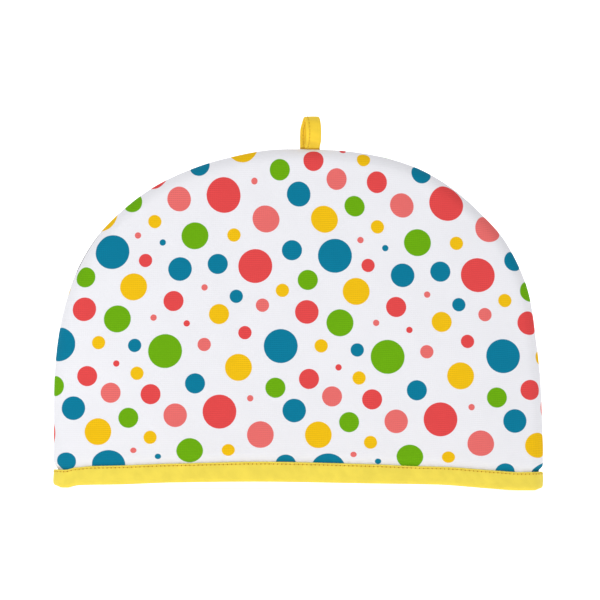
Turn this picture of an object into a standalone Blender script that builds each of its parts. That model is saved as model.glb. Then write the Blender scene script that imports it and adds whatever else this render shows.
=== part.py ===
"""Padded tea cosy, standing open on its hem.

Two dome-shaped padded walls are seamed together round the dome, a folded binding runs once round
the hem, and a folded tape loop is caught in the top seam. Metres, +Z up, the front faces -Y, the
hem rests on Z = 0, and the origin is under the middle of the cosy.
"""

import math

import bmesh
import bpy
from mathutils import Vector

NAME = "tea_cosy"

# Dome outline, seen from the front: straight sides, then a superellipse
HALF_WIDTH = 0.1762
SPRING_HEIGHT = 0.061
DOME_RISE = 0.1836
DOME_POWER = 2.44
CORNER_TURN = math.radians(45)

# How far the soft seam lies inside that outline, by the angle from +X round the hem's middle
SEAM_SAG = (
    # angle in degrees, inset
    (10, 0.0),
    (23, 0.0018),
    (32, 0.0029),
    (43, 0.0006),
    (50, 0.0006),
    (57, 0.0019),
    (72, 0.0),
    (93, 0.0),
    (103, 0.0028),
    (111, 0.0039),
    (120, 0.0035),
    (130, 0.0016),
    (140, 0.0006),
    (157, 0.0),
)
SAG_POWER = 3

# Padded walls
SEAM_GAP = 0.0003
EDGE_ROLL = 0.009
ROLL_TURNS = (0, 25, 50, 70, 90)
WALL_THICKNESS = 0.008
SEAM_THICKNESS = 0.0055
HEM_THICKNESS = 0.0044
THICKENING_FROM_SEAM = 0.030
THICKENING_ABOVE_BINDING = 0.027

# How far the walls stand apart beyond their rolled edges, widest at the middle of the hem
HEM_OPENING = 0.021
OPENING_POWER = 4.0
BELLY_POWER = 1.8

# Binding: one strip folded over the hem
BINDING_ROOM = 0.0146
BINDING_CLOTH = 0.0012
BINDING_ROUND = 0.0025
FIT_GAP = 0.0003
MERGE_DISTANCE = 0.000005
WALL_START = 0.0028
TUCK = BINDING_CLOTH + FIT_GAP
TUCK_FADE = 0.007
END_TUCK = 0.0022
END_TUCK_REACH = 0.012
END_TUCK_FADE = 0.006

# Rise of the hem line off the table along X, for each wall, and the binding's height there
HEM = (
    # x, front rise, back rise, binding height
    (-0.1762, 0.0, 0.0, 0.0131),
    (-0.168, 0.0, 0.0, 0.0130),
    (-0.160, 0.0019, 0.0014, 0.0128),
    (-0.148, 0.0022, 0.0018, 0.0137),
    (-0.130, 0.0026, 0.0022, 0.0138),
    (-0.090, 0.0043, 0.0038, 0.0138),
    (-0.022, 0.0053, 0.0050, 0.0146),
    (0.050, 0.0045, 0.0044, 0.0141),
    (0.091, 0.0041, 0.0036, 0.0131),
    (0.108, 0.0037, 0.0030, 0.0131),
    (0.125, 0.0023, 0.0018, 0.0133),
    (0.142, 0.0010, 0.0007, 0.0134),
    (0.160, 0.0, 0.0, 0.0133),
    (0.1762, 0.0, 0.0, 0.0136),
)

# Grid of a wall: columns across, and rows by their height on the side edge
MIDDLE_COLUMNS = 24
ROW_HEIGHTS = (
    WALL_START, 0.008, 0.013, 0.0165, 0.020, 0.026, 0.034, 0.045, 0.061, 0.078,
    0.095, 0.112, 0.129, 0.145, 0.159, 0.171, 0.181, 0.188,
)
CROWN_STRETCH = 1.7
ARCH_SHARE_POWER = 3

# Tape loop: a route up the front leg, over the top and down the back leg, with the tape's turn
TAPE_WIDTH = 0.011
TAPE_THICKNESS = 0.0018
TAPE_COLUMNS = 4
TAPE_STEPS = 5
TAPE_EDGE_ROUND = 0.0006
LEG_GAP = 0.0004
LEG_Y = (TAPE_THICKNESS + LEG_GAP) / 2
FRONT_LEG_X = 0.0086
BACK_LEG_X = 0.0053
TAIL_END = 0.2366
LOOP_ROUTE = (
    # x, y, z, turn about Z in degrees
    (FRONT_LEG_X, -LEG_Y, TAIL_END, 0),
    (FRONT_LEG_X, -LEG_Y, 0.2448, 0),
    (0.0096, -0.0052, 0.2513, -6),
    (0.0097, -0.0068, 0.2574, -10),
    (0.0092, -0.0056, 0.2637, -8),
    (0.0080, 0.0000, 0.2673, -3),
    (0.0066, 0.0048, 0.2637, 0),
    (0.0053, 0.0058, 0.2574, 0),
    (0.0052, 0.0040, 0.2513, 0),
    (BACK_LEG_X, LEG_Y, 0.2448, 0),
    (BACK_LEG_X, LEG_Y, TAIL_END, 0),
)
SLOT_DEPTH = 0.011
SLOT_TOP = 0.2481

# Colours as linear values, roughness
COLOURS = {
    "printed_cotton": ((0.84, 0.84, 0.86, 1.0), 0.85),
    "yellow_cotton": ((0.88, 0.62, 0.06, 1.0), 0.8),
}

FRONT = -1
BACK = 1


# Small curves and blends

def ease(value, start, end):
    """0 before start, 1 after end, and a smooth step between."""
    share = min(max((value - start) / (end - start), 0.0), 1.0)
    return share * share * (3 - 2 * share)


def between(first, second, share):
    """The value that lies share of the way from first to second."""
    return first + (second - first) * share


def slopes(places, values):
    """Slope at each place, level at turns, so that the curve never overshoots its table."""
    secants = []
    for i in range(len(places) - 1):
        secants.append((values[i + 1] - values[i]) / (places[i + 1] - places[i]))
    found = [secants[0]]
    for before, after in zip(secants, secants[1:]):
        if before * after <= 0:
            found.append(0.0)
        else:
            found.append(2 * before * after / (before + after))
    found.append(secants[-1])
    return found


def curve_value(places, values, at):
    """Smooth curve through a short table, read at one place."""
    tangents = slopes(places, values)
    last = len(places) - 2
    i = 0
    while i < last and at > places[i + 1]:
        i += 1
    span = places[i + 1] - places[i]
    t = min(max((at - places[i]) / span, 0.0), 1.0)
    start = values[i] * (2 * t**3 - 3 * t**2 + 1) + tangents[i] * span * (t**3 - 2 * t**2 + t)
    end = values[i + 1] * (3 * t**2 - 2 * t**3) + tangents[i + 1] * span * (t**3 - t**2)
    return start + end


# Shape of the cosy

def table_value(table, column, at):
    """Smooth curve through one column of a table, read at a place in its first column."""
    places = [row[0] for row in table]
    values = [row[column] for row in table]
    return curve_value(places, values, at)


def hem_rise(x, side):
    """Height of the hem's lower edge above the table."""
    return table_value(HEM, 1 if side == FRONT else 2, x)


def binding_height(x):
    """How far the binding reaches up from the hem."""
    return table_value(HEM, 3, x)


def outline_top(x):
    """Height of the dome seam above a place along X."""
    across = min(abs(x) / HALF_WIDTH, 1.0)
    return SPRING_HEIGHT + DOME_RISE * (1 - across**DOME_POWER) ** (1 / DOME_POWER)


def outline_side(z):
    """Half width of the dome seam at a height."""
    up = min(max((z - SPRING_HEIGHT) / DOME_RISE, 0.0), 1.0)
    return HALF_WIDTH * (1 - up**DOME_POWER) ** (1 / DOME_POWER)


CORNER_X = HALF_WIDTH * math.sin(CORNER_TURN) ** (2 / DOME_POWER)
CORNER_Z = SPRING_HEIGHT + DOME_RISE * math.cos(CORNER_TURN) ** (2 / DOME_POWER)


def seam_reach(x, z):
    """How near the dome seam a point of the front view lies, 1 at the seam, and the way out to it."""
    across = abs(x) / HALF_WIDTH
    up = max(z - SPRING_HEIGHT, 0.0) / DOME_RISE
    reach = (across**DOME_POWER + up**DOME_POWER) ** (1 / DOME_POWER)
    side_pull = across ** (DOME_POWER - 1) / HALF_WIDTH
    top_pull = up ** (DOME_POWER - 1) / DOME_RISE
    return reach, Vector((math.copysign(side_pull, x), top_pull))


def seam_distance(x, z):
    """Distance from a point of the front view in to the dome seam."""
    reach, pull = seam_reach(x, z)
    if reach >= 1 or reach == 0:
        return 0.0 if reach else HALF_WIDTH
    return (1 - reach) / (pull.length * reach ** (1 - DOME_POWER))


def sagged(x, z):
    """Place in the front view after the soft seam has drawn the wall in."""
    reach, pull = seam_reach(x, z)
    inset = table_value(SEAM_SAG, 1, math.degrees(math.atan2(z, x)))
    moved = Vector((x, z)) - pull.normalized() * inset * min(reach, 1.0) ** SAG_POWER
    return moved.x, moved.y


def roll_depth(distance):
    """Depth of the wall's rounded edge at a distance in from the seam."""
    short = EDGE_ROLL - min(distance, EDGE_ROLL)
    return math.sqrt(EDGE_ROLL**2 - short**2)


def opening_depth(x, z, side):
    """How far the wall is pulled out beyond its rolled edge."""
    foot = hem_rise(x, side) + BINDING_ROOM
    up = min(max((z - foot) / (outline_top(x) - foot), 0.0), 1.0)
    across = min(abs(x) / HALF_WIDTH, 1.0)
    return HEM_OPENING * (1 - across**OPENING_POWER) * (1 - up**BELLY_POWER)


def wall_depth(x, z, side):
    """Distance of the wall's outer face from the seam plane."""
    return SEAM_GAP / 2 + roll_depth(seam_distance(x, z)) + opening_depth(x, z, side)


def wall_inset(above_hem, distance):
    """How far the outer face is drawn in under the binding, more at the two ends."""
    under_binding = 1 - ease(above_hem, BINDING_ROOM, BINDING_ROOM + TUCK_FADE)
    at_end = 1 - ease(distance, 0.0, END_TUCK_REACH)
    end_top = BINDING_ROOM + END_TUCK_FADE
    end_under = 1 - ease(above_hem, BINDING_ROOM, end_top)
    return TUCK * under_binding + END_TUCK * at_end * end_under


def inner_offset(above_hem, distance):
    """Distance of the inner face behind the smooth outer face."""
    padded = between(SEAM_THICKNESS, WALL_THICKNESS, ease(distance, 0.0, THICKENING_FROM_SEAM))
    top = BINDING_ROOM + THICKENING_ABOVE_BINDING
    return between(TUCK + HEM_THICKNESS, padded, ease(above_hem, BINDING_ROOM, top))


def roll_distances():
    """Distances in from the seam that follow the rounded edge evenly."""
    return [EDGE_ROLL * (1 - math.cos(math.radians(turn))) for turn in ROLL_TURNS]


def column_places():
    """Places of a wall's columns from -1 at the left seam to 1 at the right seam."""
    left = [distance / HALF_WIDTH - 1 for distance in roll_distances()]
    first = left.pop()
    middle = [between(first, -first, i / MIDDLE_COLUMNS) for i in range(MIDDLE_COLUMNS + 1)]
    right = [-place for place in reversed(left)]
    return left + middle + right


def row_heights():
    """Heights of a wall's rows on its side edge, up to the corner of the grid."""
    top = [CORNER_Z - distance / CROWN_STRETCH for distance in reversed(roll_distances())]
    return list(ROW_HEIGHTS) + top


def wall_point(across, height, side):
    """Front-view place (x, z) and height above the hem of one grid point."""
    x = across * outline_side(height)
    arch = (height / CORNER_Z) ** ARCH_SHARE_POWER
    lift = (1 - arch) * hem_rise(x, side)
    z = height + lift + arch * (outline_top(across * CORNER_X) - CORNER_Z)
    return x, z, z - lift


# Making the pieces

def new_object(name, mesh, collection, material):
    """Object for a finished mesh, in its collection and with its material."""
    thing = bpy.data.objects.new(name, mesh)
    collection.objects.link(thing)
    if material:
        mesh.materials.append(material)
    return thing


def finish_mesh(bm, name):
    """Mesh from a closed bmesh, with its faces pointing out and shaded smooth."""
    bmesh.ops.triangulate(bm, faces=bm.faces)
    bmesh.ops.recalc_face_normals(bm, faces=bm.faces)
    mesh = bpy.data.meshes.new(name)
    bm.to_mesh(mesh)
    bm.free()
    mesh.shade_smooth()
    mesh.set_sharp_from_angle(angle=math.radians(40))
    return mesh


def grid(columns, rows):
    """New bmesh grid, and its vertices as one list for each row."""
    bm = bmesh.new()
    bmesh.ops.create_grid(bm, x_segments=columns - 1, y_segments=rows - 1, size=1.0)
    bm.verts.ensure_lookup_table()
    return bm, [bm.verts[row * columns:(row + 1) * columns] for row in range(rows)]


def keep_to_side(point, side):
    """Hold a point on its own side of the seam plane."""
    point.y = side * max(side * point.y, SEAM_GAP / 2)


def make_wall(name, side, collection, material):
    """One padded wall: a grid laid on the dome, with a second face behind it."""
    columns = column_places()
    rows = row_heights()
    bm, lines = grid(len(columns), len(rows))
    drawn_in = []
    for height, line in zip(rows, lines):
        for across, vert in zip(columns, line):
            x, z, above_hem = wall_point(across, height, side)
            distance = seam_distance(x, z)
            depth = wall_depth(x, z, side)
            x, z = sagged(x, z)
            vert.co = (x, side * depth, z)
            outer = wall_inset(above_hem, distance)
            inner = max(inner_offset(above_hem, distance), outer)
            drawn_in.append((outer, inner))
    if side == BACK:
        bmesh.ops.reverse_faces(bm, faces=bm.faces)
    bm.normal_update()
    outer_verts = list(bm.verts)
    normals = [vert.normal.copy() for vert in outer_verts]
    rim = [edge for edge in bm.edges if edge.is_boundary]
    copied = bmesh.ops.duplicate(bm, geom=bm.verts[:] + bm.edges[:] + bm.faces[:])
    inner_of = copied["vert_map"]
    for vert, normal, (outer, inner) in zip(outer_verts, normals, drawn_in):
        smooth_face = vert.co.copy()
        twin = inner_of[vert]
        vert.co = smooth_face - normal * outer
        twin.co = smooth_face - normal * inner
        keep_to_side(vert.co, side)
        keep_to_side(twin.co, side)
    inner_rim = [copied["edge_map"][edge] for edge in rim]
    bmesh.ops.bridge_loops(bm, edges=rim + inner_rim)
    return new_object(name, finish_mesh(bm, name), collection, material)


def hem_path():
    """Plan of the hem as the binding's outer face follows it: points (x, y, rise)."""
    inner_columns = column_places()[1:-1]
    path = []
    for side in (FRONT, BACK):
        path.append(Vector((side * HALF_WIDTH, 0.0, 0.0)))
        for across in inner_columns:
            x = -side * across * HALF_WIDTH
            depth = SEAM_GAP / 2 + roll_depth(HALF_WIDTH - abs(x))
            depth += opening_depth(x, 0.0, side)
            path.append(Vector((x, side * depth, hem_rise(x, side))))
    return path


def arc(centre_n, centre_z, radius, start, end, steps):
    """Points (n, z) of an arc, its angles in degrees from +n towards +z."""
    points = []
    for i in range(steps + 1):
        turn = math.radians(between(start, end, i / steps))
        points.append((centre_n + radius * math.cos(turn), centre_z + radius * math.sin(turn)))
    return points


def binding_section(top):
    """Closed section of the folded strip: n runs outwards from its outer face, z up from the hem."""
    back_face = -(2 * TUCK + HEM_THICKNESS)
    outer = BINDING_ROUND
    inner = BINDING_ROUND - BINDING_CLOTH
    edge = BINDING_CLOTH * 0.35
    section = [(0.0, top - edge)]
    section += arc(-outer, outer, outer, 0, -90, 3)
    section += arc(back_face + outer, outer, outer, -90, -180, 3)
    section.append((back_face, top - edge))
    section.append((back_face + edge, top))
    section.append((back_face + BINDING_CLOTH - edge, top))
    section.append((back_face + BINDING_CLOTH, top - edge))
    section += arc(back_face + outer, outer, inner, 180, 270, 2)
    section += arc(-outer, outer, inner, -90, 0, 2)
    section.append((-BINDING_CLOTH, top - edge))
    section.append((-BINDING_CLOTH + edge, top))
    section.append((-edge, top))
    return section


def make_binding(name, collection, material):
    """Binding: its folded section carried once round the hem and joined to its own start."""
    path = hem_path()
    columns = len(binding_section(BINDING_ROOM))
    bm, lines = grid(columns + 1, len(path) + 1)
    for i, line in enumerate(lines):
        at = i % len(path)
        place = path[at]
        section = binding_section(binding_height(place.x))
        along = path[(at + 1) % len(path)] - path[at - 1]
        outwards = Vector((along.y, -along.x, 0.0)).normalized()
        for j, vert in enumerate(line):
            n, z = section[j % columns]
            vert.co = Vector((place.x, place.y, place.z + z)) + outwards * n
    bmesh.ops.remove_doubles(bm, verts=bm.verts, dist=MERGE_DISTANCE)
    return new_object(name, finish_mesh(bm, name), collection, material)


def loop_places():
    """Route of the tape's middle, as (place, turn) pairs."""
    stations = list(range(len(LOOP_ROUTE)))
    columns = list(zip(*LOOP_ROUTE))
    places = []
    for i in range((len(LOOP_ROUTE) - 1) * TAPE_STEPS + 1):
        at = i / TAPE_STEPS
        x, y, z, turn = [curve_value(stations, column, at) for column in columns]
        places.append((Vector((x, y, z)), math.radians(turn)))
    return places


def make_loop(name, collection, material):
    """Tape loop: a strip laid along its route, given its thickness and rounded edges."""
    places = loop_places()
    bm, lines = grid(TAPE_COLUMNS + 1, len(places))
    for line, (place, turn) in zip(lines, places):
        across = Vector((math.cos(turn), -math.sin(turn), 0.0))
        for j, vert in enumerate(line):
            vert.co = place + across * TAPE_WIDTH * (j / TAPE_COLUMNS - 0.5)
    mesh = bpy.data.meshes.new(name)
    bm.to_mesh(mesh)
    bm.free()
    loop = new_object(name, mesh, collection, material)
    thicken = loop.modifiers.new("thickness", "SOLIDIFY")
    thicken.thickness = TAPE_THICKNESS
    thicken.offset = 0.0
    rounded = loop.modifiers.new("soft_edges", "BEVEL")
    rounded.width = TAPE_EDGE_ROUND
    rounded.segments = 1
    rounded.limit_method = "ANGLE"
    rounded.angle_limit = math.radians(60)
    return loop


def cut_slot(wall, side, cutters):
    """Room in a wall's seam edge for one leg of the loop's tail."""
    leg_x = FRONT_LEG_X if side == FRONT else BACK_LEG_X
    far = TAPE_THICKNESS + LEG_GAP / 2 + FIT_GAP
    near = -SEAM_GAP
    size = Vector((TAPE_WIDTH + 2 * FIT_GAP, far - near, SLOT_DEPTH))
    middle = Vector((leg_x, side * (far + near) / 2, SLOT_TOP - SLOT_DEPTH / 2))
    bm = bmesh.new()
    bmesh.ops.create_cube(bm, size=1.0)
    bmesh.ops.scale(bm, vec=size, verts=bm.verts)
    bmesh.ops.translate(bm, vec=middle, verts=bm.verts)
    name = wall.name + "_slot"
    cutter = new_object(name, finish_mesh(bm, name), cutters, None)
    cutter.hide_render = True
    cutter.display_type = "WIRE"
    cut = wall.modifiers.new("slot", "BOOLEAN")
    cut.operation = "DIFFERENCE"
    cut.solver = "EXACT"
    cut.object = cutter


def make_material(name):
    """Plain cloth material in its own colour."""
    colour, roughness = COLOURS[name]
    material = bpy.data.materials.new(name)
    material.use_nodes = True
    shader = material.node_tree.nodes["Principled BSDF"]
    shader.inputs["Base Color"].default_value = colour
    shader.inputs["Roughness"].default_value = roughness
    shader.inputs["Metallic"].default_value = 0.0
    return material


def clear_scene():
    """Remove what the scene starts with."""
    for thing in list(bpy.data.objects):
        bpy.data.objects.remove(thing, do_unlink=True)


def new_collection(name):
    """Collection linked to the scene."""
    collection = bpy.data.collections.new(name)
    bpy.context.scene.collection.children.link(collection)
    return collection


def main():
    clear_scene()
    parts = new_collection(NAME)
    cutters = new_collection(NAME + "_cutters")
    printed = make_material("printed_cotton")
    yellow = make_material("yellow_cotton")
    front = make_wall("front_panel", FRONT, parts, printed)
    back = make_wall("back_panel", BACK, parts, printed.copy())
    make_binding("hem_binding", parts, yellow)
    make_loop("hanging_loop", parts, yellow.copy())
    cut_slot(front, FRONT, cutters)
    cut_slot(back, BACK, cutters)


main()
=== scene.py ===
"""Padded tea cosy in dotted white cotton, with a yellow binding round its hem and a tape loop.

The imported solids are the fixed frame. Each of them is replaced by a finer piece of the same shape:
padded walls with their print, a binding with its edge stitching, and a folded loop.
"""

import math

import bmesh
import bpy
import numpy as np
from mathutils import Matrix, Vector, noise


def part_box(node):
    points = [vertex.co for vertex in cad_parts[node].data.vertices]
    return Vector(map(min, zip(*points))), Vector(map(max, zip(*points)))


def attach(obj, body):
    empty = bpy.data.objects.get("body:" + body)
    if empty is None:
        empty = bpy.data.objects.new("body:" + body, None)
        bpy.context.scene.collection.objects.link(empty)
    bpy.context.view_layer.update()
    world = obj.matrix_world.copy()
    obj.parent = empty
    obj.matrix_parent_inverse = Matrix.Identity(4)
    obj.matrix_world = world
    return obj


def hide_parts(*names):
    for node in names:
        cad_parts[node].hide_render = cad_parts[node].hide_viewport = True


bl_info = {
    "name": "Dotted tea cosy",
    "version": (1, 0, 0),
    "blender": (4, 5, 0),
    "location": "3D View > Sidebar > Tea cosy",
    "description": "Makes the cloth of a padded tea cosy round its packed solids",
    "category": "Object",
}

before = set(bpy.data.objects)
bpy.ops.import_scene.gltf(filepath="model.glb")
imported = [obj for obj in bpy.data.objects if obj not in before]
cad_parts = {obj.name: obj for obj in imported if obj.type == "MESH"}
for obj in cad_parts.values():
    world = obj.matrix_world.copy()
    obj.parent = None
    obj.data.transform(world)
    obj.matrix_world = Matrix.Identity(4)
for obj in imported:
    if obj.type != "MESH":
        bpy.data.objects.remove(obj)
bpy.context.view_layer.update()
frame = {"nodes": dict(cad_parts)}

FRONT = -1
BACK = 1
WALLS = {FRONT: "front_panel", BACK: "back_panel"}
BINDING = "hem_binding"
LOOP = "hanging_loop"
BODY = "root"

# Sizes read from the frame
HALF_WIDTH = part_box(BINDING)[1].x
CROWN_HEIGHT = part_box(WALLS[FRONT])[1].z

# The wall's shape, as its solid has it
SEAM_GAP = 0.0003
FIT_GAP = 0.0003
DOME_POWER = 2.44
CORNER_TURN = math.radians(45)
OPENING_POWER = 4.0
BELLY_POWER = 1.8
THICKENING_FROM_SEAM = 0.030
THICKENING_ABOVE_BINDING = 0.027
HEM_THICKNESS = 0.0044
WALL_START = 0.0028
TUCK_FADE = 0.0055
END_TUCK = 0.0022
END_TUCK_REACH = 0.012
END_TUCK_FADE = 0.003
ARCH_SHARE_POWER = 3
CROWN_STRETCH = 1.7

# How far the soft seam lies inside that outline, by the angle from +X round the hem's middle
SEAM_SAG = (
    # angle in degrees, inset
    (10, 0.0),
    (23, 0.0018),
    (32, 0.0029),
    (43, 0.0006),
    (50, 0.0006),
    (57, 0.0019),
    (72, 0.0),
    (93, 0.0),
    (103, 0.0028),
    (111, 0.0039),
    (120, 0.0035),
    (130, 0.0016),
    (140, 0.0006),
    (157, 0.0),
)
SAG_POWER = 3

# Rise of the hem line off the table along X, for each wall, and the binding's height there
HEM = (
    # x, front rise, back rise, binding height
    (-HALF_WIDTH, 0.0, 0.0, 0.0131),
    (-0.168, 0.0, 0.0, 0.0130),
    (-0.160, 0.0019, 0.0014, 0.0128),
    (-0.148, 0.0022, 0.0018, 0.0137),
    (-0.130, 0.0026, 0.0022, 0.0138),
    (-0.090, 0.0043, 0.0038, 0.0138),
    (-0.022, 0.0053, 0.0050, 0.0146),
    (0.050, 0.0045, 0.0044, 0.0141),
    (0.091, 0.0041, 0.0036, 0.0131),
    (0.108, 0.0037, 0.0030, 0.0131),
    (0.125, 0.0023, 0.0018, 0.0133),
    (0.142, 0.0010, 0.0007, 0.0134),
    (0.160, 0.0, 0.0, 0.0133),
    (HALF_WIDTH, 0.0, 0.0, 0.0136),
)

# Fineness of the walls
ROLL_STEPS = 9
CLOTH_STEP = 0.0024

# How the cloth lies on its wadding: heights of its soft unevenness
SWELL_SIZE = 0.055
SWELL_HEIGHT = 0.0007
DIMPLE_SIZE = 0.016
DIMPLE_HEIGHT = 0.00018
SEAM_PUCKER_PITCH = 0.0085
SEAM_PUCKER_HEIGHT = 0.00025
SEAM_PUCKER_REACH = 0.007
SEAM_HELD = 0.0045
HEM_PUCKER_PITCH = 0.0075
HEM_PUCKER_HEIGHT = 0.00022
HEM_PUCKER_REACH = 0.009

# Tape loop: a route up the front leg, over the top and down the back leg, with the tape's turn
LEG_GAP = 0.0004
TAPE_THICKNESS = 0.0018
LEG_Y = (TAPE_THICKNESS + LEG_GAP) / 2
FRONT_LEG_X = 0.0086
BACK_LEG_X = 0.0053
TAIL_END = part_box(LOOP)[0].z
LOOP_ROUTE = (
    # x, y, z, turn about Z in degrees
    (FRONT_LEG_X, -LEG_Y, TAIL_END, 0),
    (FRONT_LEG_X, -LEG_Y, 0.2448, 0),
    (0.0096, -0.0052, 0.2513, -6),
    (0.0097, -0.0068, 0.2574, -10),
    (0.0092, -0.0056, 0.2637, -8),
    (0.0080, 0.0000, 0.2673, -3),
    (0.0066, 0.0048, 0.2637, 0),
    (0.0053, 0.0058, 0.2574, 0),
    (0.0052, 0.0040, 0.2513, 0),
    (BACK_LEG_X, LEG_Y, 0.2448, 0),
    (BACK_LEG_X, LEG_Y, TAIL_END, 0),
)

# One repeat of the print, charted in whole millimetres from its lower left corner
REPEAT_ACROSS = 0.160
REPEAT_UP = 0.155
DOT_WIDTHS = {
    "tiny": 0.0046,
    "small": 0.0096,
    "medium": 0.0145,
    "wide": 0.0170,
    "large": 0.0194,
    "huge": 0.0244,
}
DOTS = (
    # across, up, size, ink
    (132, 153, "tiny", "blue"),
    (65, 149, "medium", "blue"),
    (96, 146, "huge", "blue"),
    (120, 140, "small", "red"),
    (12, 138, "medium", "blue"),
    (39, 137, "huge", "red"),
    (145, 134, "wide", "blue"),
    (77, 128, "medium", "green"),
    (3, 121, "tiny", "pink"),
    (112, 121, "large", "yellow"),
    (59, 120, "small", "yellow"),
    (26, 115, "small", "blue"),
    (141, 111, "medium", "red"),
    (45, 109, "small", "pink"),
    (77, 105, "wide", "red"),
    (14, 102, "medium", "yellow"),
    (127, 99, "tiny", "pink"),
    (101, 98, "large", "green"),
    (151, 95, "tiny", "red"),
    (33, 89, "small", "red"),
    (88, 81, "small", "yellow"),
    (59, 80, "huge", "blue"),
    (4, 80, "small", "pink"),
    (114, 79, "small", "blue"),
    (136, 75, "huge", "green"),
    (101, 66, "tiny", "red"),
    (29, 64, "large", "yellow"),
    (116, 59, "small", "yellow"),
    (80, 57, "medium", "red"),
    (158, 52, "medium", "blue"),
    (56, 50, "medium", "green"),
    (97, 45, "medium", "pink"),
    (126, 44, "medium", "red"),
    (38, 42, "tiny", "pink"),
    (70, 34, "wide", "blue"),
    (16, 32, "huge", "red"),
    (144, 29, "wide", "pink"),
    (110, 27, "medium", "green"),
    (46, 16, "large", "pink"),
    (88, 17, "large", "yellow"),
    (126, 13, "small", "yellow"),
    (23, 4, "small", "yellow"),
    (114, 3, "tiny", "pink"),
    (155, 3, "large", "green"),
)
INKS = ("red", "pink", "blue", "green", "yellow")

# How the printed cloth lies: where a repeat's corner is, how the cloth is turned and its rows bow
PRINT_CORNER = (-0.074, 0.0243)
PRINT_TURN = math.radians(1.35)
PRINT_BOW = 0.12
BACK_CUT_SHIFT = (0.047, 0.061)

# How the sewing shifts the print: run on over the rounded edge, pulled up and to the left at the
# crown, and gathered and lifted at the hem
ROLL_SHARE = 0.8
CROWN_START = 0.185
CROWN_LEAN = 0.0014
CROWN_LEAN_REACH = 0.03
CROWN_PULL = 0.0024
CROWN_PULL_DELAY = 0.015
HEM_SEWN = 0.014
HEM_GATHER = 0.012
HEM_GATHER_END = 0.11
HEM_LIFT = 0.0024
HEM_LIFT_END = 0.034


# Settings that a user would change

def metres(name, description, default):
    """Property that holds a length."""
    return bpy.props.FloatProperty(
        name=name, description=description, default=default, unit="LENGTH"
    )


def tint(name, description, default):
    """Property that holds a colour."""
    return bpy.props.FloatVectorProperty(
        name=name, description=description, default=default, subtype="COLOR", size=3
    )


class CosySizes(bpy.types.PropertyGroup):
    """Sizes of the cut and sewn pieces."""

    spring_height: metres("Spring height", "Height up to which the sides are straight", 0.061)
    edge_roll: metres("Edge roll", "Radius with which a wall rolls over into the seam", 0.009)
    hem_opening: metres(
        "Hem opening", "How far the middle of the hem is pulled out beyond the rolled edge", 0.021
    )
    wall_thickness: metres(
        "Wall thickness", "Outer cloth, wadding and inside cloth together", 0.008
    )
    seam_thickness: metres("Seam thickness", "Thickness of a wall at the dome seam", 0.0055)
    binding_height: metres(
        "Binding height", "Room that the binding takes above the hem where it is highest", 0.0146
    )
    binding_cloth: metres("Binding cloth", "Thickness of the folded binding", 0.0012)
    binding_round: metres("Binding round", "Radius of the binding's lower corners", 0.0025)
    tape_width: metres("Tape width", "Width of the tape that the loop is made of", 0.011)
    stitch_pitch: metres("Stitch pitch", "Distance from one needle hole to the next", 0.003)
    stitch_inset: metres(
        "Stitch inset", "Distance of the stitches from the binding's upper edge", 0.0017
    )
    thread: metres("Thread", "Thickness of the sewing thread", 0.0006)


class CosyColours(bpy.types.PropertyGroup):
    """Colours of the cloths, the inks and the thread, and of the painted shade round the needle
    holes and on the tape's feet.
    """

    cotton: tint("Cotton", "Unprinted ground of the walls", (0.80, 0.80, 0.84))
    inside: tint("Inside", "Plain cloth on the inside of the walls", (0.78, 0.77, 0.75))
    red: tint("Red", "Red dots", (0.70, 0.062, 0.064))
    pink: tint("Pink", "Pink dots", (0.74, 0.146, 0.14))
    blue: tint("Blue", "Blue dots", (0.002, 0.18, 0.30))
    green: tint("Green", "Green dots", (0.135, 0.38, 0.004))
    yellow: tint("Yellow", "Yellow dots", (0.80, 0.48, 0.006))
    binding: tint("Binding", "Yellow cloth of the binding", (0.84, 0.68, 0.085))
    loop: tint("Loop", "Yellow cloth of the loop", (0.90, 0.62, 0.042))
    thread: tint("Thread", "Gold thread of the edge stitching", (0.78, 0.52, 0.045))
    # Colour of painted shade in the dents round the needle holes, and of painted shadow on the
    # tape's feet where they go into the seam
    hole_shade_colour: tint(
        "Needle hole",
        "Shaded dent round a needle hole, and the tape's foot in the seam",
        (0.48, 0.23, 0.012),
    )


class CosyCloth(bpy.types.PropertyGroup):
    """Weaves of the cloths and the edge of their print."""

    rib_pitch: metres("Rib pitch", "Distance between the ribs of the printed cotton", 0.0014)
    plain_pitch: metres("Plain pitch", "Distance between the threads of the yellow cloth", 0.0005)
    ink_edge: metres("Ink edge", "Softness of a dot's edge", 0.00022)


class CosyStage(bpy.types.PropertyGroup):
    """Camera and light."""

    distance: metres("Distance", "Distance of the camera from the seam plane", 10.0)
    view_width: metres("View width", "Width that the picture takes in at the seam plane", 0.432)
    view_middle_x: metres("View middle X", "Place along X of the picture's middle", 0.0005)
    view_middle_z: metres("View middle Z", "Height of the picture's middle", 0.1360)
    roll: bpy.props.FloatProperty(
        name="Roll",
        description="How far the camera is rolled about its own axis",
        default=math.radians(-0.345),
        subtype="ANGLE",
    )
    light: bpy.props.FloatProperty(
        name="Light", description="Strength of the all-round light", default=0.56, min=0.0
    )
    key: bpy.props.FloatProperty(
        name="Key", description="Power of the large front lamp in watts", default=11.0, min=0.0
    )


# Small curves and blends

def ease(value, start, end):
    """0 before start, 1 after end, and a smooth step between."""
    share = np.clip((value - start) / (end - start), 0.0, 1.0)
    return share * share * (3 - 2 * share)


def between(first, second, share):
    """The value that lies share of the way from first to second."""
    return first + (second - first) * share


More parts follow.
